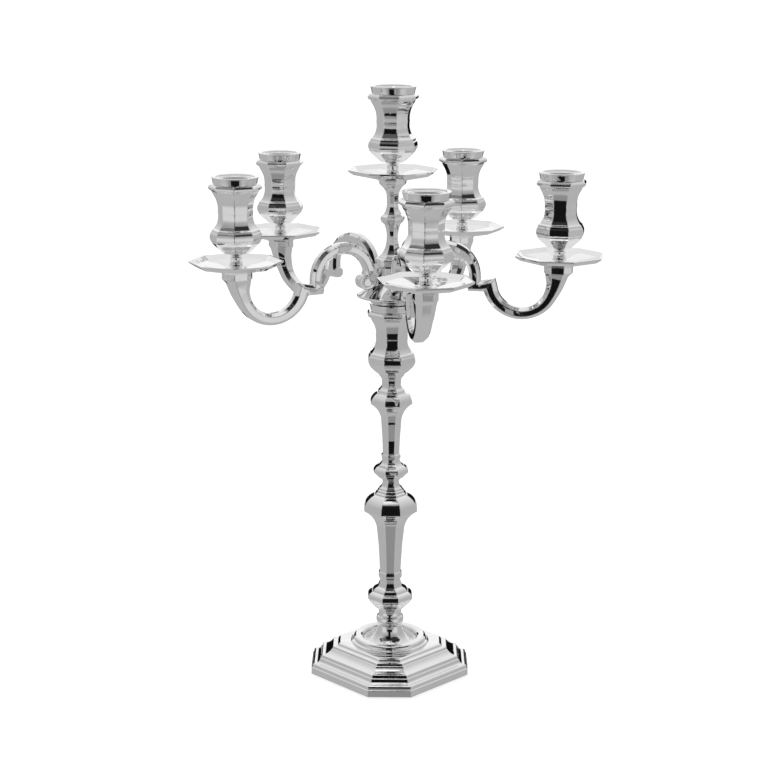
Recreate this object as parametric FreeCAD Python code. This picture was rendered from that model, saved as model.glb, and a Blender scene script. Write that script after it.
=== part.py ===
"""Six-light table candelabra: a weighted candlestick with a lift-off branch unit of five scroll arms.

Units are millimetres, +Z is up, and the origin is where the stem's axis meets the table.
The candlestick is faceted: eight sides, the four that face the row's axes a little narrower.
A half outline is a list of steps from the bottom up. (r, z) is a straight run to that point and
(r1, z1, r, z) an arc through the first pair to the second; r is the distance from axis to face.
"""

import FreeCAD
import Part

import math
import os

# ---- driving dimensions -------------------------------------------------------------------
HEIGHT = 520.0  # table to the centre nozzle's rim
ARM_TOP = 451.8  # table to the arm nozzles' rims
STEM_TOP = 335.0  # table to the candlestick's own nozzle rim
ARM_REACH = 142.5  # axis to an arm light's axis
ARM_AT = (-79.4, -9.3, 63.3, 135.5, 206.0)  # the hand-fitted arms' directions from +X, in degrees
ARM_COUNT = len(ARM_AT)
CUP_TWIST = (6.0, 1.2, 0.0, -5.0, -1.5)  # each arm cup's turn against its arm
BASE_CANT = 69.7  # axis to the base's narrow sides
BASE_SIDE = 62.7  # axis to the base's wide sides
CANT_RATIO = 0.968  # wide sides' distance over narrow sides' distance, on the stem
CANDLE_CUP_RATIO = 0.975  # a candle cup's width over the stem cup's
CANDLE_R = 11.0  # bore for a 22 mm candle
NOZZLE_R = 11.7  # outside of a nozzle's tube
FIT = 0.2  # radial clearance of a nozzle in its cup
SEAT_GAP = 0.1  # clearance under a nozzle's rim
PLUG_R = 10.92  # branch plug, a running fit in the stem nozzle
STEM_ROD_R = 3.0
ROD_R = 2.5  # centre rod of the branch unit
STUD_R = 2.0
HOLE_GAP = 0.1  # radial clearance of rods and studs
FELT = 1.5
COVER = 1.0
SHELL_FOOT = 0.5  # the shell's edge stays this far off the table

# Heights in a light, down from the nozzle's rim.
LIP = 6.3
STEM_WELL = 34.0  # depth of the stem cup's bore
CUP_WELL = 22.4  # depth of a candle cup's bore
BOWL = 63.6
CUP_FOOT = 75.5
PAN_UNDER = 79.0
PAN_RIM = 69.6

UP = FreeCAD.Vector(0, 0, 1)
AXIS = FreeCAD.Vector(0, 0, 0)
REACH = 200.0  # longer than any section, for extruding and cutting


# ---- shape helpers --------------------------------------------------------------------------
def run_of(outline, side=1.0, ratio=1.0):
    """Edges of a half outline in the XZ plane, and its first and last points."""
    k = side * ratio
    last = first = FreeCAD.Vector(k * outline[0][0], 0, outline[0][1])
    edges = []
    for step in outline[1:]:
        end = FreeCAD.Vector(k * step[-2], 0, step[-1])
        if len(step) == 4:
            through = FreeCAD.Vector(k * step[0], 0, step[1])
            edges.append(Part.Arc(last, through, end).toShape())
        else:
            edges.append(Part.LineSegment(last, end).toShape())
        last = end
    return edges, first, last


def slab(outline, ratio=1.0):
    """The outline and its mirror image, closed and extruded along Y both ways."""
    right, low_right, high_right = run_of(outline, 1.0, ratio)
    left, low_left, high_left = run_of(outline, -1.0, ratio)
    top = Part.LineSegment(high_right, high_left).toShape()
    bottom = Part.LineSegment(low_right, low_left).toShape()
    wire = Part.Wire(Part.__sortEdges__(right + [top] + left + [bottom]))
    face = Part.Face(wire)
    face.translate(FreeCAD.Vector(0, -REACH, 0))
    return face.extrude(FreeCAD.Vector(0, 2 * REACH, 0))


def faceted(outline, turn=0.0, wide=None, ratio=CANT_RATIO):
    """An eight-sided turning with mitred edges. wide is the wide sides' outline if it isn't scaled."""
    solid = slab(outline)
    cross = slab(outline)
    cross.rotate(AXIS, UP, 90)
    solid = solid.common(cross)
    for angle in (45, 135):
        diagonal = slab(wide) if wide else slab(outline, ratio)
        diagonal.rotate(AXIS, UP, angle)
        solid = solid.common(diagonal)
    solid.rotate(AXIS, UP, turn)
    return solid.Solids[0]


def turned(outline):
    """A round turning of a half outline, closed to the axis."""
    edges, first, last = run_of(outline)
    edges.append(Part.LineSegment(last, FreeCAD.Vector(0, 0, last.z)).toShape())
    edges.append(Part.LineSegment(FreeCAD.Vector(0, 0, last.z), FreeCAD.Vector(0, 0, first.z)).toShape())
    edges.append(Part.LineSegment(FreeCAD.Vector(0, 0, first.z), first).toShape())
    face = Part.Face(Part.Wire(Part.__sortEdges__(edges)))
    return face.revolve(AXIS, UP, 360)


def rod(radius, low, high):
    return Part.makeCylinder(radius, high - low, FreeCAD.Vector(0, 0, low))


def hexagon(across, low, high):
    """A hexagonal prism on the axis."""
    corner = across / 2 / math.cos(math.radians(30))
    points = [
        FreeCAD.Vector(corner * math.cos(math.radians(a)), corner * math.sin(math.radians(a)), low)
        for a in range(0, 361, 60)
    ]
    return Part.Face(Part.makePolygon(points)).extrude(FreeCAD.Vector(0, 0, high - low))


def raised(outline, height):
    """The same outline, moved up."""
    return [
        (s[0], s[1] + height) if len(s) == 2 else (s[0], s[1] + height, s[2], s[3] + height)
        for s in outline
    ]


def inset(outline, apothem):
    """An outline of (inset, z) steps as distances from the axis."""
    return [
        (apothem - s[0], s[1]) if len(s) == 2 else (apothem - s[0], s[1], apothem - s[2], s[3])
        for s in outline
    ]


def canted(outline):
    """A base section: the same inset from the narrow and from the wide sides."""
    return faceted(inset(outline, BASE_CANT), 0.0, inset(outline, BASE_SIDE))


# ---- candlestick base ---------------------------------------------------------------------
BASE_MOULDING = [  # inset, z: plinth, fillet, ovolo, cavetto, riser, long cavetto, riser, plateau
    (0.0, SHELL_FOOT),
    (0.0, 6.4),
    (0.9, 6.8),
    (0.9, 7.7),
    (1.5, 9.5, 3.4, 10.2),
    (4.3, 10.3),
    (6.4, 11.1, 7.4, 13.2),
    (7.8, 14.0),
    (8.8, 14.2),
    (9.3, 16.8),
    (10.4, 17.0),
    (15.0, 18.4, 18.0, 21.4),
    (18.6, 21.6),
    (19.0, 23.6),
    (23.4, 23.9),
    (23.8, 25.2),
    (25.4, 26.0),
]
BASE_CAVITY = [
    (1.4, 0.0),
    (1.4, 5.8),
    (5.0, 8.6),
    (9.2, 11.6),
    (10.6, 14.4),
    (11.0, 15.4),
    (19.2, 19.6),
    (20.6, 22.2),
    (25.0, 22.6),
    (25.4, 24.4),
]
WEIGHT_OUTLINE = [(5.2, 8.0), (9.8, 11.4), (11.4, 14.8), (19.6, 19.0), (21.0, 21.6), (24.5, 21.8)]
WELL_FLOOR = 25.6
SHELL_TOP = 24.4  # inside of the shell under the well
BASE_RING = [  # a raised ring around the stem's well
    (34.6, 22.0),
    (34.6, 26.2),
    (34.2, 27.6, 33.0, 28.0),
    (32.4, 28.4),
    (31.4, 31.2, 28.2, 31.6),
    (25.6, 31.4, 24.4, 30.4),
]
WELL = [(23.2, WELL_FLOOR), (23.4, 28.2, 24.4, 30.4), (24.4, 40.0)]


def base_shell():
    body = canted(BASE_MOULDING).fuse(turned(BASE_RING)).removeSplitter()
    body = body.cut(turned(WELL)).cut(canted(BASE_CAVITY))
    return body.cut(rod(STEM_ROD_R + HOLE_GAP, 0, 60)).Solids[0]


def base_weight():
    body = canted(WEIGHT_OUTLINE).fuse(rod(18.0, 20.0, SHELL_TOP)).removeSplitter()
    return body.cut(rod(STEM_ROD_R + HOLE_GAP, 0, 60)).Solids[0]


def base_sheet(low, high):
    """A flat sheet that closes the base from below."""
    return canted([(1.5, low), (1.5, high)])


# ---- candlestick stem ---------------------------------------------------------------------
FOOT_TOP = 54.6
LOWER_KNOP_TOP = 82.2
LOWER_BALUSTER_TOP = 174.6
MIDDLE_KNOP_TOP = 193.6
UPPER_BALUSTER_TOP = 264.6

FOOT = [  # round trumpet and its collar
    (21.6, WELL_FLOOR),
    (21.6, 26.2),
    (13.8, 32.2, 11.2, 43.2),
    (11.5, 43.8),
    (11.8, 44.6),
    (12.1, 47.2, 11.5, 49.8),
    (10.7, 50.4),
    (10.0, 52.4, 9.9, FOOT_TOP),
]
LOWER_KNOP = [
    (10.0, FOOT_TOP),
    (10.0, 56.4),
    (11.2, 57.6),
    (15.8, 62.2, 19.3, 67.4),
    (19.7, 67.9),
    (19.0, 70.8, 16.0, 73.4),
    (15.2, 73.6),
    (14.0, 75.8, 11.4, 77.6),
    (10.6, 78.2),
    (10.0, 79.6),
    (9.0, LOWER_KNOP_TOP),
]
LOWER_BALUSTER = [
    (9.0, LOWER_KNOP_TOP),
    (9.0, 86.0),
    (9.8, 86.6),
    (10.3, 89.0, 9.8, 91.4),
    (9.1, 92.0),
    (9.4, 98.3),
    (9.9, 107.7),
    (10.5, 118.0),
    (11.9, 131.4),
    (14.7, 141.2, 22.6, 149.2),
    (23.4, 150.0),
    (21.4, 156.8, 14.6, 163.2),
    (13.5, 163.6),
    (13.0, 165.2),
    (11.8, 165.8),
    (11.3, 167.6),
    (10.4, 168.2),
    (9.9, 169.6),
    (8.0, 171.4, 7.2, LOWER_BALUSTER_TOP),
]
MIDDLE_KNOP = [
    (7.2, LOWER_BALUSTER_TOP),
    (7.0, 176.4),
    (8.0, 178.0),
    (10.4, 179.6),
    (14.4, 184.0),
    (15.2, 184.8),
    (14.2, 187.4, 11.0, 190.2),
    (10.0, 190.8),
    (8.6, 192.2),
    (7.8, MIDDLE_KNOP_TOP),
]
UPPER_BALUSTER = [
    (7.8, MIDDLE_KNOP_TOP),
    (7.4, 196.4),
    (8.0, 197.0),
    (8.3, 198.6, 8.0, 200.2),
    (7.1, 200.8),
    (7.5, 213.5),
    (8.6, 228.8),
    (10.9, 239.0, 17.3, 246.4),
    (18.1, 247.2),
    (16.7, 251.6, 12.2, 256.2),
    (11.2, 256.6),
    (11.3, 258.0),
    (10.3, 259.2),
    (8.6, 261.2, 8.2, UPPER_BALUSTER_TOP),
]
# Hollows in the castings, open to the rod's hole.
FOOT_HOLLOW = [(16.4, WELL_FLOOR), (9.6, 32.0), (8.4, 43.4), (9.6, 47.2), (7.0, 52.4)]
LOWER_KNOP_HOLLOW = [(5.0, 57.6), (12.0, 62.4), (16.2, 67.4), (15.0, 70.6), (8.0, 75.4), (5.0, 78.0)]
LOWER_BALUSTER_HOLLOW = [
    (4.6, 88.0),
    (6.4, 98.0),
    (8.2, 124.0),
    (10.0, 138.0),
    (12.6, 143.8),
    (18.8, 150.0),
    (18.6, 152.0),
    (12.6, 160.6),
    (8.6, 164.6),
    (4.6, 169.0),
]
MIDDLE_KNOP_HOLLOW = [(4.2, 178.8), (11.0, 184.6), (11.4, 186.0), (7.6, 189.4), (4.2, 191.0)]
UPPER_BALUSTER_HOLLOW = [
    (4.4, 206.0),
    (5.8, 226.0),
    (7.2, 236.0),
    (9.6, 242.4),
    (14.2, 248.2),
    (13.8, 250.2),
    (8.6, 256.0),
    (4.6, 259.6),
]
# The vase, up from the bowl's foot. Heights are down from the nozzle's rim.
VASE = [
    (12.6, -60.6),
    (15.0, -58.5, 16.8, -56.6),
    (18.7, -54.4, 19.7, -52.0),
    (20.1, -51.5),
    (20.3, -49.4, 19.6, -46.2),
    (18.9, -45.2),
    (18.3, -43.6),
    (16.9, -42.6),
    (13.9, -36.2, 13.7, -29.2),
    (14.3, -21.0, 17.0, -14.8),
    (17.8, -13.2),
    (18.4, -11.6),
    (20.2, -10.6),
    (20.8, -9.8),
    (20.9, -8.4),
    (19.4, -LIP),
]


def stem_part(outline, hollow, turn):
    """A casting of the stem, turned a little where the rod clamps it."""
    body = faceted(outline, turn).cut(turned(hollow))
    return body.cut(rod(STEM_ROD_R + HOLE_GAP, 0, HEIGHT)).Solids[0]


def foot_trumpet():
    body = turned(FOOT).cut(turned(FOOT_HOLLOW))
    return body.cut(rod(STEM_ROD_R + HOLE_GAP, 0, HEIGHT)).Solids[0]


ROD_SEAT = STEM_TOP - STEM_WELL - 4.5
STEM_CUP_TURN = 2.5


def stem_cup():
    neck = [
        (8.2, UPPER_BALUSTER_TOP),
        (8.3, 267.0),
        (8.8, 269.4, 10.3, 271.2),
        (11.0, 273.0),
    ]
    hollow = [(5.0, 273.4), (9.6, 275.8), (15.2, 280.4), (17.0, 284.6), (16.6, 288.4), (12.4, 293.4)]
    body = faceted(neck + raised(VASE, STEM_TOP), STEM_CUP_TURN).cut(turned(hollow))
    body = body.cut(rod(NOZZLE_R + FIT, STEM_TOP - STEM_WELL, STEM_TOP + 5))
    body = body.cut(rod(6.2, ROD_SEAT, STEM_TOP))
    return body.cut(rod(STEM_ROD_R + HOLE_GAP, 0, HEIGHT)).Solids[0]


NUT_LOW, NUT_HIGH, WASHER_HIGH = 2.8, 6.8, 8.0


def stem_rod():
    """Runs the length of the candlestick; its head sits under the stem nozzle."""
    return rod(STEM_ROD_R, NUT_LOW, ROD_SEAT).fuse(rod(5.4, ROD_SEAT, ROD_SEAT + 3.6)).removeSplitter()


def rod_nut():
    return hexagon(10.0, NUT_LOW, NUT_HIGH).cut(rod(STEM_ROD_R, 0, 20))


def rod_washer():
    return rod(9.0, NUT_HIGH, WASHER_HIGH).cut(rod(STEM_ROD_R + HOLE_GAP, 0, 20))


# ---- nozzle, cup and drip pan of one light, on the axis ---------------------------------------
NOZZLE = [  # outside, up from the tube
    (NOZZLE_R, -LIP + SEAT_GAP),
    (18.0, -LIP + SEAT_GAP),
    (18.2, -5.0),
    (19.0, -1.1),
    (19.3, -0.1, 18.6, 0.0),
    (17.8, 0.0),
    (16.4, -0.2, 15.2, -1.2),
    (13.6, -1.6),
    (CANDLE_R + 0.6, -1.6),
    (CANDLE_R, -2.2),
]
NOZZLE_FOOT_GAP = 0.6
NOZZLE_FLOOR = 1.2
CUP_NECK = [
    (9.0, -CUP_FOOT),
    (9.0, -74.7),
    (6.0, -73.2, 5.2, -70.2),
    (5.0, -67.4),
    (5.4, -65.0, 7.4, -63.9),
    (7.4, -60.0),
]
CUP_BOWL = [(8.6, -BOWL), (10.9, -62.4, 12.6, -60.6)]
CUP_HOLLOW = [
    (10.0, -59.6),
    (14.4, -55.8),
    (17.0, -50.6),
    (16.8, -47.0),
    (14.4, -43.2),
    (11.2, -38.0),
    (10.4, -32.0),
    (10.4, -CUP_WELL),
]
CUP_BOSS_R = 5.0
PAN_BELOW = [(12.2, -PAN_UNDER), (12.2, -78.3), (31.6, -73.8), (35.8, -71.0), (36.1, -PAN_RIM)]
PAN_DISH = [(10.0, -76.4), (30.6, -72.6), (34.9, -69.7), (35.2, -PAN_RIM + 2)]
PAN_BOSS_R = 9.6


def nozzle(top, well):
    """A rimmed tube, closed at its foot, that stands in a bore of depth well."""
    foot = NOZZLE_FOOT_GAP - well
    body = turned(raised([(NOZZLE_R, foot)] + NOZZLE, top))
    return body.cut(rod(CANDLE_R, top + foot + NOZZLE_FLOOR, top + 5)).Solids[0]


def cup(top, turn, hole):
    """A vase like the stem's, narrower and regular, on a round neck."""
    vase = [tuple(v * CANDLE_CUP_RATIO if i % 2 == 0 else v for i, v in enumerate(s)) for s in CUP_BOWL + VASE[1:]]
    body = faceted(raised(vase, top), turn, None, 1.0).fuse(turned(raised(CUP_NECK, top))).removeSplitter()
    hollow = turned(raised(CUP_HOLLOW, top)).cut(rod(CUP_BOSS_R, top - 70, top - 56))
    body = body.cut(hollow).cut(rod(NOZZLE_R + FIT, top - CUP_WELL, top + 5))
    return body.cut(rod(hole, top - 90, top - 58)).Solids[0]


def pan(top, turn, hole):
    body = faceted(raised(PAN_BELOW, top), turn, None, 1.0)
    dish = faceted(raised(PAN_DISH, top), turn, None, 1.0).cut(rod(PAN_BOSS_R, 0, top - CUP_FOOT))
    return body.cut(dish).cut(rod(hole, 0, HEIGHT)).Solids[0]


# ---- branch unit, hub and centre stem ---------------------------------------------------------
FLANGE_LOW = STEM_TOP + 0.3
FLANGE_TOP = 356.6
HUB_TOP = 371.6
COLLAR_TOP = 375.2
CENTRE_LOWER_TOP = 404.2
CENTRE_KNOP_TOP = 412.4
CENTRE_TOP = HEIGHT - PAN_UNDER
PLUG_LOW = STEM_TOP - 30.0

FLANGE = [
    (17.0, FLANGE_LOW),
    (18.6, 336.6),
    (23.0, 340.0, 28.6, 341.2),
    (30.1, 341.9, 29.6, 343.2),
    (21.4, 348.6, 13.6, FLANGE_TOP),
]
HUB = [
    (13.0, FLANGE_TOP),
    (12.3, 358.6),
    (12.1, 366.0),
    (12.4, 369.4, 13.2, HUB_TOP),
]
HUB_COLLAR = [
    (13.4, HUB_TOP),
    (14.0, 372.2),
    (14.2, 373.4, 13.6, 374.6),
    (12.4, COLLAR_TOP),
]
CENTRE_LOWER = [
    (11.6, COLLAR_TOP),
    (6.6, 382.0, 4.8, 390.4),
    (5.0, 397.4, 7.0, CENTRE_LOWER_TOP),
]
CENTRE_KNOP = [
    (7.4, CENTRE_LOWER_TOP),
    (9.4, 406.4),
    (9.9, 408.0),
    (9.7, 410.2),
    (8.4, 411.2),
    (7.2, CENTRE_KNOP_TOP),
]
CENTRE_UPPER = [
    (7.2, CENTRE_KNOP_TOP),
    (5.2, 417.0, 4.7, 423.0),
    (4.9, 428.4),
    (6.6, 433.2, 10.6, 437.6),
    (11.1, 438.4),
    (11.1, CENTRE_TOP),
]


def arm_angle(number):
    return ARM_AT[number - 1]


HUB_TURN = -8.1
CENTRE_CUP_TURN = -10.4


def branch_part(outline):
    return faceted(outline, HUB_TURN).cut(rod(ROD_R + HOLE_GAP, 0, HEIGHT)).Solids[0]


def branch_plug():
    """Fills the stem nozzle's bore; its pocket holds the centre rod's nut."""
    body = turned([(PLUG_R - 1.0, PLUG_LOW), (PLUG_R, PLUG_LOW + 1.0), (PLUG_R, FLANGE_LOW)])
    return body.cut(rod(6.2, PLUG_LOW, PLUG_LOW + 7)).cut(rod(ROD_R + HOLE_GAP, 0, HEIGHT)).Solids[0]


def hub_flange():
    hollow = [(5.0, 338.4), (19.6, 342.4), (19.6, 344.0), (12.4, 350.6), (8.4, 354.0)]
    return turned(FLANGE).cut(turned(hollow)).cut(rod(ROD_R + HOLE_GAP, 0, HEIGHT)).Solids[0]


def centre_rod():
    return rod(ROD_R, PLUG_LOW + 2, HEIGHT - 60)


def branch_nut():
    return hexagon(8.0, PLUG_LOW + 2.4, PLUG_LOW + 6).cut(rod(ROD_R, 0, HEIGHT))


def branch_washer():
    return rod(5.6, PLUG_LOW + 6, PLUG_LOW + 7).cut(rod(ROD_R + HOLE_GAP, 0, HEIGHT))


# ---- scroll arm, in the XZ plane with the light's axis at ARM_REACH ---------------------------
ARM_T = 4.8  # half thickness in the arm's plane
ARM_W = 4.9  # half width across it
COLLAR_LOW = 367.2
FLAT = 0.47  # share of a section's half size that stays flat before its chamfer
ARCH = (46.5, 361.3, 24.7)  # centre x, centre z, radius of the arch's middle line
SHELF_IN, SHELF_TOP, SHELF_LOW = 65.8, 356.8, 348.6
SHELF_CORNER = (88.6, 360.2, 79.0, SHELF_LOW)  # upper and lower corner of its mitre
INNER = (111.0, 356.8, 21.0)  # the hanging curve's inner outline: centre x, centre z, radius
OUTER = (111.0, 359.4, 33.5)  # and its outer outline
CURVE_FROM, CURVE_TO = 20, 150  # degrees round the hanging curve
LIMB = [  # inner x, z, outer x, z, half width: from the curve up to the collar
    (131.5, 352.4, 143.9, 349.2, 7.0),
    (132.3, 358.8, 148.5, 358.9, 8.0),
    (131.4, 364.4, 150.9, 364.5, 8.8),
]
ARCH_FOOT = 361.0  # where the arch's inner leg turns into the volute
ROLL = [  # the volute's outline: through and end point of each arc, from the leg's hub side round
    (18.6, 352.8, 25.2, 349.6),
    (30.6, 351.4, 32.6, 356.4),
    (31.0, 360.4, 26.6, 361.4),
]
BUTTON_AT = (25.4, 355.8)
BUTTON_R = 3.7
GROOVE_R = 5.3
GROOVE_FROM, GROOVE_SPAN = 12.0, 144.0
ARM_END = ARM_TOP - PAN_UNDER
END_AT, END_T, END_W = ARM_REACH - 0.6, 11.8, 9.4
TENON_IN, TENON_OUT = 8.4, 19.0
TENON_LOW, TENON_HIGH = 359.0, 367.0
TENON_W = 3.2
PIN_AT, PIN_R = 10.6, 1.2


def section(x, z, heading, half_t, half_w):
    """An eight-cornered section across the arm's line, which runs along heading, in degrees."""
    a = math.radians(heading)
    nx, nz = -math.sin(a), math.cos(a)
    corners = [
        (half_t, FLAT * half_w),
        (FLAT * half_t, half_w),
        (-FLAT * half_t, half_w),
        (-half_t, FLAT * half_w),
        (-half_t, -FLAT * half_w),
        (-FLAT * half_t, -half_w),
        (FLAT * half_t, -half_w),
        (half_t, -FLAT * half_w),
    ]
    points = [FreeCAD.Vector(x + t * nx, w, z + t * nz) for t, w in corners]
    return Part.makePolygon(points + points[:1])


def between(x1, z1, x2, z2, half_w):
    """The section that spans two points of the arm's side view, first the left-hand one."""
    heading = math.degrees(math.atan2(z1 - z2, x1 - x2)) - 90.0
    half_t = math.hypot(x1 - x2, z1 - z2) / 2
    return section((x1 + x2) / 2, (z1 + z2) / 2, heading, half_t, half_w)


def round_point(circle, angle):
    """A point of a circle, its angle counted from the hub's side down and round."""
    a = math.radians(angle)
    return circle[0] - circle[2] * math.cos(a), circle[1] - circle[2] * math.sin(a)


def curve_section(angle):
    half_w = ARM_W + max(0.0, angle - 50.0) * 0.015
    return between(*round_point(INNER, angle), *round_point(OUTER, angle), half_w)


def arch():
    """Up from the volute, over, and down into the shelf."""
    cx, cz, r = ARCH
    stations = [(cx - r, ARCH_FOOT - 3.0, 90.0)]
    stations += [
        (cx - r * math.cos(math.radians(a)), cz + r * math.sin(math.radians(a)), 90.0 - a)
        for a in range(0, 181, 20)
    ]
    stations.append((cx + r, SHELF_LOW + 4.0, -90.0))
    return Part.makeLoft([section(x, z, h, ARM_T, ARM_W) for x, z, h in stations], True)


def shelf():
    """The step between arch and curve, mitred at its outer corner."""
    inner_end = between(SHELF_IN, SHELF_TOP, SHELF_IN, SHELF_LOW, ARM_W)
    before_corner = between(77.0, SHELF_TOP + 0.4, 77.0, SHELF_LOW, ARM_W)
    corner = between(*SHELF_CORNER, ARM_W)
    return Part.makeLoft([inner_end, before_corner, corner, curve_section(CURVE_FROM)], True, True)


def hanging_curve():
    """Down from the shelf, round, and up to the drip pan, swelling towards its collar."""
    sections = [curve_section(a) for a in range(CURVE_FROM, CURVE_TO + 1, 13)]
    sections += [between(*points) for points in LIMB]
    sections.append(section(END_AT, COLLAR_LOW, 90.0, END_T, END_W))
    return Part.makeLoft(sections, True, False, False, 3)


def volute():
    """The rolled end at the hub: a raised button in an open groove."""
    last = FreeCAD.Vector(ARCH[0] - ARCH[2] - ARM_T, 0, ARCH_FOOT)
    top = FreeCAD.Vector(ROLL[-1][2], 0, ARCH_FOOT)
    edges = [Part.LineSegment(top, last).toShape()]
    for x1, z1, x2, z2 in ROLL:
        end = FreeCAD.Vector(x2, 0, z2)
        edges.append(Part.Arc(last, FreeCAD.Vector(x1, 0, z1), end).toShape())
        last = end
    edges.append(Part.LineSegment(last, top).toShape())
    face = Part.Face(Part.Wire(Part.__sortEdges__(edges)))
    face.translate(FreeCAD.Vector(0, -ARM_W, 0))
    roll = face.extrude(FreeCAD.Vector(0, 2 * ARM_W, 0))
    x, z = BUTTON_AT
    side = FreeCAD.Vector(0, 1, 0)
    low = FreeCAD.Vector(x, -2 * ARM_W, z)
    groove = Part.makeCylinder(GROOVE_R, 4 * ARM_W, low, side, GROOVE_SPAN)
    groove = groove.cut(Part.makeCylinder(BUTTON_R, 4 * ARM_W, low, side))
    groove.rotate(FreeCAD.Vector(x, 0, z), side, GROOVE_FROM)
    button = Part.makeCylinder(BUTTON_R, 2 * ARM_W + 1.6, FreeCAD.Vector(x, -ARM_W - 0.8, z), side)
    return roll.cut(groove).fuse(button)


def end_collar():
    low = section(END_AT, COLLAR_LOW - 0.3, 90.0, END_T, END_W)
    high = section(END_AT, ARM_END, 90.0, END_T, END_W)
    return Part.makeLoft([low, high], True, True)


def tenon():
    size = (TENON_OUT - TENON_IN, 2 * TENON_W, TENON_HIGH - TENON_LOW)
    return Part.makeBox(*size, FreeCAD.Vector(TENON_IN, -TENON_W, TENON_LOW))


def arm(number):
    body = arch()
    for piece in (shelf(), hanging_curve(), end_collar(), volute(), tenon()):
        body = body.fuse(piece)
    body = body.removeSplitter()
    stud_hole = rod(STUD_R + HOLE_GAP, ARM_END - 16, ARM_END + 1)
    stud_hole.translate(FreeCAD.Vector(ARM_REACH, 0, 0))
    pin_hole = rod(PIN_R, 300, 400)
    pin_hole.translate(FreeCAD.Vector(PIN_AT, 0, 0))
    body = body.cut(stud_hole).cut(pin_hole)
    body.rotate(AXIS, UP, arm_angle(number))
    return body.Solids[0]


def around(shape):
    """One copy of a shape for each arm."""
    copies = []
    for number in range(1, ARM_COUNT + 1):
        copy = shape.copy()
        copy.rotate(AXIS, UP, arm_angle(number))
        copies.append(copy)
    return copies


def hub_body():
    body = branch_part(HUB)
    for slot in around(tenon()):
        body = body.cut(slot)
    pin = rod(PIN_R, TENON_LOW - 2, HUB_TOP)
    pin.translate(FreeCAD.Vector(PIN_AT, 0, 0))
    for hole in around(pin):
        body = body.cut(hole)
    return body.Solids[0]


def arm_pins():
    pin = rod(PIN_R, TENON_LOW - 2, HUB_TOP)
    pin.translate(FreeCAD.Vector(PIN_AT, 0, 0))
    return Part.makeCompound(around(pin))


def cup_studs():
    stud = rod(STUD_R, ARM_END - 15, ARM_TOP - 59)
    stud.translate(FreeCAD.Vector(ARM_REACH, 0, 0))
    return Part.makeCompound(around(stud))


def at_arm(shape, number):
    """A shape made on the axis, moved out to an arm's light."""
    shape.translate(FreeCAD.Vector(ARM_REACH, 0, 0))
    shape.rotate(AXIS, UP, arm_angle(number))
    return shape


# ---- all sub-parts -----------------------------------------------------------------------------
def all_parts():
    parts = {
        "base_felt": base_sheet(0.0, FELT),
        "base_cover": base_sheet(FELT, FELT + COVER),
        "base_weight": base_weight(),
        "base_shell": base_shell(),
        "rod_nut": rod_nut(),
        "rod_washer": rod_washer(),
        "stem_rod": stem_rod(),
        "foot_trumpet": foot_trumpet(),
        "lower_knop": stem_part(LOWER_KNOP, LOWER_KNOP_HOLLOW, 1.0),
        "lower_baluster": stem_part(LOWER_BALUSTER, LOWER_BALUSTER_HOLLOW, 0.5),
        "middle_knop": stem_part(MIDDLE_KNOP, MIDDLE_KNOP_HOLLOW, 3.0),
        "upper_baluster": stem_part(UPPER_BALUSTER, UPPER_BALUSTER_HOLLOW, 3.5),
        "stem_cup": stem_cup(),
        "stem_nozzle": nozzle(STEM_TOP, STEM_WELL),
        "branch_plug": branch_plug(),
        "branch_nut": branch_nut(),
        "branch_washer": branch_washer(),
        "centre_rod": centre_rod(),
        "hub_flange": hub_flange(),
        "hub_body": hub_body(),
        "hub_collar": branch_part(HUB_COLLAR),
        "arm_pins": arm_pins(),
        "cup_studs": cup_studs(),
        "centre_stem_lower": branch_part(CENTRE_LOWER),
        "centre_stem_knop": branch_part(CENTRE_KNOP),
        "centre_stem_upper": branch_part(CENTRE_UPPER),
        "centre_pan": pan(HEIGHT, HUB_TURN, ROD_R + HOLE_GAP),
        "centre_cup": cup(HEIGHT, CENTRE_CUP_TURN, ROD_R + HOLE_GAP),
        "centre_nozzle": nozzle(HEIGHT, CUP_WELL),
    }
    for number in range(1, ARM_COUNT + 1):
        parts[f"arm_{number}"] = arm(number)
        parts[f"pan_{number}"] = at_arm(pan(ARM_TOP, 0.0, STUD_R + HOLE_GAP), number)
        parts[f"cup_{number}"] = at_arm(cup(ARM_TOP, CUP_TWIST[number - 1], STUD_R + HOLE_GAP), number)
        parts[f"nozzle_{number}"] = at_arm(nozzle(ARM_TOP, CUP_WELL), number)
    return parts


os.makedirs("parts", exist_ok=True)
for node, shape in all_parts().items():
    shape.exportStep(f"parts/{node}.step")
    print(f"{node:20s} valid {shape.isValid()} solids {len(shape.Solids)} volume {shape.Volume / 1000:.2f} cm3")
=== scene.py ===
"""Looks of the six-light candelabra: silver plate, studio, camera."""

import math

import bmesh
import bpy
from mathutils import Matrix, Vector


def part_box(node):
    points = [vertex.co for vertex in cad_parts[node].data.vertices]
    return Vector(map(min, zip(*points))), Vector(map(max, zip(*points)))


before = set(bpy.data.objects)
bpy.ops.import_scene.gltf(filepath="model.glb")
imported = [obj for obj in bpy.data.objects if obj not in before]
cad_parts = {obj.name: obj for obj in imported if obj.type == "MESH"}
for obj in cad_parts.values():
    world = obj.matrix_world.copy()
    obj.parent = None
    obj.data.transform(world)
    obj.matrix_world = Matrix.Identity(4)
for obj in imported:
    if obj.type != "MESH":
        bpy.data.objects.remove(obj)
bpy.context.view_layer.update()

# --- camera: metres, radians, millimetres for the lens ---
CAMERA_AT = (0.0, -1.5388, 0.64975)
CAMERA_PITCH = -0.2461
CAMERA_YAW = -0.0042
CAMERA_ROLL = 0.0056
LENS = 85.55
SENSOR = 36.0

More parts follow.
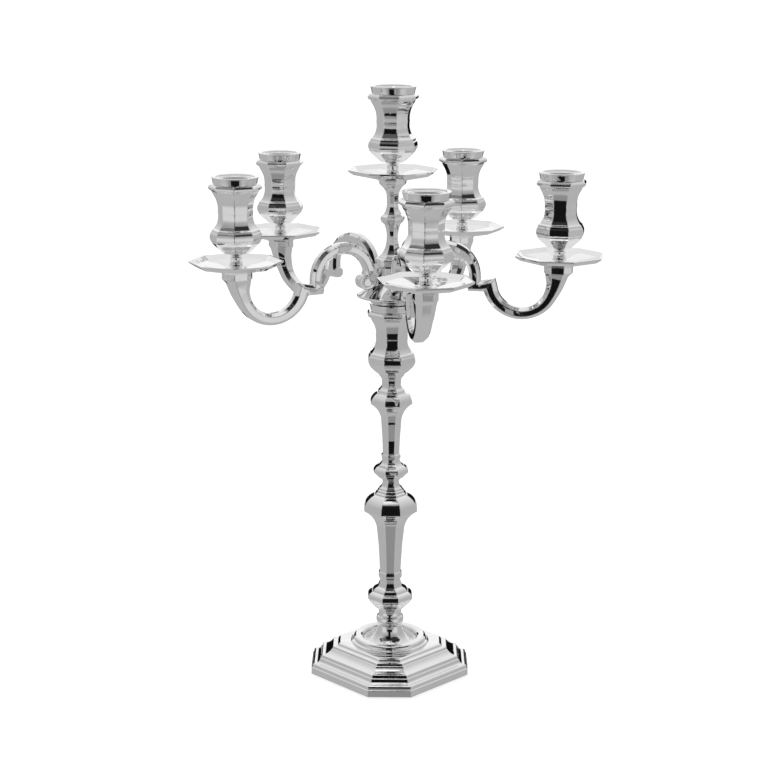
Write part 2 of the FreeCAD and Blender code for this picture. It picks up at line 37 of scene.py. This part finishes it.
# --- studio: a light tent, as the brightness that a mirror would pick up ---
# Each panel is laid over the ones before it. An edge is an angle, where the panel begins to show
# and where it shows in full, in degrees. "turn" goes round from the camera's side, positive to
# its right, "away" is the same without its sign, and "rise" is the height over the horizon.
# Inside its veil a panel keeps only the share of itself given by "kept".
GROUND_LIGHT = 0.47
BLACK_LIGHT = 0.03
PANELS = {
    "sides": {"light": 0.45, "edges": [("rise", -45, -25)]},
    "ceiling": {"light": 0.72, "edges": [("rise", 8, 55)]},
    "back": {"light": 0.84, "edges": [("away", 105, 160), ("rise", -5, 22)]},
    "front_wings": {
        "light": 0.68,
        "edges": [("away", 85, 55), ("away", 22, 35), ("rise", -32, -18), ("rise", 18, 0)],
    },
    "table_front": {
        "light": 0.28,
        "edges": [("away", 46, 24), ("rise", -66, -50), ("rise", -4, -14)],
    },
    "brow": {
        "light": 0.24,
        "edges": [("away", 78, 35), ("rise", 8, 36), ("rise", 72, 62)],
    },
    "top": {"light": 0.84, "edges": [("rise", 58, 76)]},
    "gap": {
        "light": BLACK_LIGHT,
        "edges": [("away", 92, 78), ("rise", 36, 40), ("rise", 62, 59)],
        "veil": [("turn", -78, -66), ("turn", -16, -24)],
        "kept": 0.65,
    },
    "flag": {
        "light": BLACK_LIGHT,
        "edges": [("turn", 20, 26), ("turn", 70, 64), ("rise", 31, 34), ("rise", 73, 70)],
    },
    "paper": {
        "light": 1.0,
        "edges": [("away", 135, 158), ("rise", -9, -2), ("rise", 30, 18)],
    },
    "lamp": {"light": 1.8, "edges": [("rise", 82, 86)]},
}

# Dark cards round the camera's opening and behind the object, in metres:
# y, left, right, low and high edge.
CARDS = (
    (-1.0, -0.43, 0.34, -0.17, 0.12),
    (-1.0, -0.22, 0.13, 0.12, 0.62),
    (-1.0, -0.60, 0.13, 0.62, 1.30),
    (1.5, -0.86, -0.36, -0.35, 0.60),
    (1.5, 0.36, 0.86, -0.35, 0.60),
)

FLOOR_RADIUS = 30
BACKDROP_RADIUS = 29
FLOOR_GLOW = 0.62
BACKDROP_GLOW = 1.1

# Radius that polishing has given the edges of each kind of piece, in metres.
ARM_EDGE = 0.0012
CUP_EDGE = 0.0013
TURNED_EDGE = 0.0008
SHEET_EDGE = 0.0003
HIDDEN_EDGE = 0.0003

# A nozzle is matt where it faces its own axis from at least this far, in metres.
BORE_BEGINS = 0.0085
BORE_FULL = 0.0100


class Nodes:
    """Short calls for wiring one node tree."""

    def __init__(self, tree):
        self.tree = tree

    def add(self, kind, **inputs):
        """A node with the named inputs set or linked; _ stands for a space in a name."""
        node = self.tree.nodes.new(kind)
        for name, value in inputs.items():
            self.feed(node.inputs[name.replace("_", " ")], value)
        return node

    def feed(self, socket, value):
        if isinstance(value, bpy.types.NodeSocket):
            self.tree.links.new(value, socket)
        else:
            socket.default_value = value

    def math(self, operation, *values):
        node = self.tree.nodes.new("ShaderNodeMath")
        node.operation = operation
        for socket, value in zip(node.inputs, values):
            self.feed(socket, value)
        return node.outputs[0]

    def vector(self, operation, *values, output="Vector"):
        node = self.tree.nodes.new("ShaderNodeVectorMath")
        node.operation = operation
        for socket, value in zip(node.inputs, values):
            self.feed(socket, value)
        return node.outputs[output]

    def ramp(self, value, start, end, low=0.0, high=1.0):
        """Rises smoothly from low at start to high at end."""
        node = self.tree.nodes.new("ShaderNodeMapRange")
        node.interpolation_type = "SMOOTHSTEP"
        self.feed(node.inputs[0], value)
        for socket, number in zip(node.inputs[1:5], (start, end, low, high)):
            socket.default_value = number
        return node.outputs[0]

    def mix(self, factor, a, b):
        """a where factor is 0, b where it is 1, for plain numbers."""
        node = self.tree.nodes.new("ShaderNodeMix")
        for socket, value in zip((node.inputs[0], node.inputs[2], node.inputs[3]), (factor, a, b)):
            self.feed(socket, value)
        return node.outputs[0]

    def within(self, angles, edges):
        """1 inside all the edges, 0 outside any of them."""
        cover = 1.0
        for angle, begins, full in edges:
            cover = self.math("MULTIPLY", cover, self.ramp(angles[angle], begins, full))
        return cover

    def grey(self, tone):
        return self.add("ShaderNodeCombineColor", Red=tone, Green=tone, Blue=tone).outputs[0]

    def object_place(self):
        return self.add("ShaderNodeTexCoord").outputs["Object"]

    def noise(self, place, scale, detail=2.0):
        node = self.add("ShaderNodeTexNoise", Vector=place, Scale=scale, Detail=detail)
        return node.outputs["Fac"]


def new_material(name):
    """A material with its node calls and its shader."""
    material = bpy.data.materials.new(name)
    material.use_nodes = True
    return material, Nodes(material.node_tree), material.node_tree.nodes["Principled BSDF"]


def add_camera():
    data = bpy.data.cameras.new("camera")
    data.lens = LENS
    data.sensor_width = SENSOR
    forward = Vector(
        (
            math.sin(CAMERA_YAW) * math.cos(CAMERA_PITCH),
            math.cos(CAMERA_YAW) * math.cos(CAMERA_PITCH),
            math.sin(CAMERA_PITCH),
        )
    )
    level = Vector((math.cos(CAMERA_YAW), -math.sin(CAMERA_YAW), 0.0))
    above = level.cross(forward)
    right = level * math.cos(CAMERA_ROLL) + above * math.sin(CAMERA_ROLL)
    up = above * math.cos(CAMERA_ROLL) - level * math.sin(CAMERA_ROLL)
    camera = bpy.data.objects.new("camera", data)
    bpy.context.scene.collection.objects.link(camera)
    camera.matrix_world = Matrix(
        (
            (right.x, up.x, -forward.x, CAMERA_AT[0]),
            (right.y, up.y, -forward.y, CAMERA_AT[1]),
            (right.z, up.z, -forward.z, CAMERA_AT[2]),
            (0, 0, 0, 1),
        )
    )
    bpy.context.scene.camera = camera


def studio_world():
    """A soft light tent, darker over the opening that the picture is taken through."""
    world = bpy.data.worlds.new("studio")
    bpy.context.scene.world = world
    world.use_nodes = True
    n = Nodes(world.node_tree)
    direction = n.add("ShaderNodeTexCoord").outputs["Generated"]
    x, y, z = n.add("ShaderNodeSeparateXYZ", Vector=direction).outputs[:3]
    degrees = 180 / math.pi
    turn = n.math("MULTIPLY", n.math("ARCTAN2", x, n.math("MULTIPLY", y, -1.0)), degrees)
    angles = {
        "turn": turn,
        "away": n.math("ABSOLUTE", turn),
        "rise": n.math("MULTIPLY", n.math("ARCSINE", z), degrees),
    }
    light = GROUND_LIGHT
    for panel in PANELS.values():
        cover = n.within(angles, panel["edges"])
        if "veil" in panel:
            kept = n.mix(n.within(angles, panel["veil"]), 1.0, panel["kept"])
            cover = n.math("MULTIPLY", cover, kept)
        light = n.mix(cover, light, panel["light"])
    n.feed(world.node_tree.nodes["Background"].inputs["Color"], n.grey(light))


def white_surface(name, glow):
    """White that stays white in the picture, with a barely seen cloud in it."""
    material, n, shader = new_material(name)
    shader.inputs["Base Color"].default_value = (0.9, 0.9, 0.9, 1)
    shader.inputs["Roughness"].default_value = 1.0
    shader.inputs["Specular IOR Level"].default_value = 0.0
    shader.inputs["Emission Color"].default_value = (1, 1, 1, 1)
    cloud = n.noise(n.object_place(), 0.3)
    n.feed(shader.inputs["Emission Strength"], n.ramp(cloud, 0.2, 0.8, glow, glow * 1.02))
    return material


def black_cloth():
    material, n, shader = new_material("black_cloth")
    weave = n.noise(n.object_place(), 40.0)
    n.feed(shader.inputs["Base Color"], n.grey(n.ramp(weave, 0.3, 0.7, 0.008, 0.014)))
    shader.inputs["Roughness"].default_value = 1.0
    shader.inputs["Specular IOR Level"].default_value = 0.0
    return material


def add_staged(name, form, material):
    """Turns the bmesh form into an object of the studio."""
    mesh = bpy.data.meshes.new(name)
    form.to_mesh(mesh)
    form.free()
    obj = bpy.data.objects.new(name, mesh)
    obj.data.materials.append(material)
    bpy.context.scene.collection.objects.link(obj)
    return obj


def add_floor_and_backdrop():
    """Only the camera sees these two: they add no light and no reflection to the silver."""
    disc = bmesh.new()
    bmesh.ops.create_circle(disc, cap_ends=True, radius=FLOOR_RADIUS, segments=96)
    ball = bmesh.new()
    bmesh.ops.create_uvsphere(ball, u_segments=48, v_segments=24, radius=BACKDROP_RADIUS)
    for obj in (
        add_staged("floor", disc, white_surface("floor_white", FLOOR_GLOW)),
        add_staged("backdrop", ball, white_surface("backdrop_white", BACKDROP_GLOW)),
    ):
        obj.visible_glossy = False
        obj.visible_diffuse = False
        obj.visible_transmission = False
        obj.visible_shadow = False


def add_cards():
    """Black cards that only the silver sees."""
    cloth = black_cloth()
    for number, (depth, left, right, low, high) in enumerate(CARDS):
        form = bmesh.new()
        corners = ((left, low), (right, low), (right, high), (left, high))
        form.faces.new([form.verts.new((x, depth, z)) for x, z in corners])
        card = add_staged(f"card_{number}", form, cloth)
        card.visible_camera = False
        card.visible_diffuse = False
        card.visible_shadow = False


def finish(name, metallic, tone, roughness, scale, edge):
    """A material whose tone and roughness drift between two values, and its rounded normal."""
    material, n, shader = new_material(name)
    shader.inputs["Metallic"].default_value = metallic
    haze = n.noise(n.object_place(), scale, detail=4.0)
    n.feed(shader.inputs["Roughness"], n.ramp(haze, 0.3, 0.75, *roughness))
    n.feed(shader.inputs["Base Color"], n.grey(n.ramp(haze, 0.3, 0.8, *tone)))
    rounded = n.add("ShaderNodeBevel", Radius=edge)
    rounded.samples = 6
    return material, n, shader, rounded.outputs[0]


def add_bump(n, shader, rounded, scale, strength, depth):
    height = n.noise(n.object_place(), scale, detail=3.0)
    bump = n.add(
        "ShaderNodeBump", Height=height, Strength=strength, Distance=depth, Normal=rounded
    )
    n.feed(shader.inputs["Normal"], bump.outputs[0])


def silver(name, edge):
    """Silver plate: polishing by hand leaves a slight wave and faint wiping marks."""
    material, n, shader, rounded = finish(
        name, metallic=1.0, tone=(0.93, 0.90), roughness=(0.025, 0.05), scale=60.0, edge=edge
    )
    add_bump(n, shader, rounded, scale=30.0, strength=0.6, depth=0.0012)
    return material


def silver_with_bore(name, edge, node_name):
    """Silver plate, except on the wall of the candle bore, which is left matt from the casting."""
    material = silver(name, edge)
    n = Nodes(material.node_tree)
    shader = material.node_tree.nodes["Principled BSDF"]
    low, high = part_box(node_name)
    here = n.add("ShaderNodeTexCoord").outputs
    from_axis = n.vector("SUBTRACT", here["Object"], (low + high) / 2)
    from_axis = n.vector("MULTIPLY", from_axis, (1.0, 1.0, 0.0))
    outward = n.vector("DOT_PRODUCT", from_axis, here["Normal"], output="Value")
    metallic = n.ramp(outward, -BORE_BEGINS, -BORE_FULL, 1.0, 0.1)
    n.feed(shader.inputs["Metallic"], metallic)
    return material


def grained(name, metallic, tone, roughness, scale, depth):
    """Felt, cast iron or plated steel: a grain instead of a polish."""
    material, n, shader, rounded = finish(name, metallic, tone, roughness, scale, HIDDEN_EDGE)
    add_bump(n, shader, rounded, scale=scale * 20, strength=0.5, depth=depth)
    return material


def dress_nodes():
    """The record's slot says what a node is made of, and its name how round its edges are."""
    arms = silver("silver_arms", ARM_EDGE)
    cups = silver("silver_cups", CUP_EDGE)
    turnings = silver("silver_turnings", TURNED_EDGE)
    sheets = silver("silver_sheets", SHEET_EDGE)
    others = {
        "felt": grained(
            "felt", metallic=0.0, tone=(0.012, 0.022), roughness=(0.9, 1.0),
            scale=30.0, depth=0.0004,
        ),
        "iron": grained(
            "cast_iron", metallic=0.6, tone=(0.05, 0.09), roughness=(0.55, 0.75),
            scale=40.0, depth=0.0004,
        ),
        "steel": grained(
            "plated_steel", metallic=1.0, tone=(0.5, 0.6), roughness=(0.25, 0.4),
            scale=80.0, depth=0.0001,
        ),
    }
    for name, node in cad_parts.items():
        for slot in node.material_slots:
            made_of = slot.material.name.split(".")[0]
            if made_of in others:
                slot.material = others[made_of]
            elif name.startswith("arm_"):
                slot.material = arms
            elif "nozzle" in name:
                slot.material = silver_with_bore(f"silver_{name}", SHEET_EDGE, name)
            elif "pan" in name:
                slot.material = sheets
            elif "cup" in name:
                slot.material = cups
            else:
                slot.material = turnings


add_camera()
studio_world()
add_floor_and_backdrop()
add_cards()
dress_nodes()
bpy.context.scene.view_settings.view_transform = "Standard"
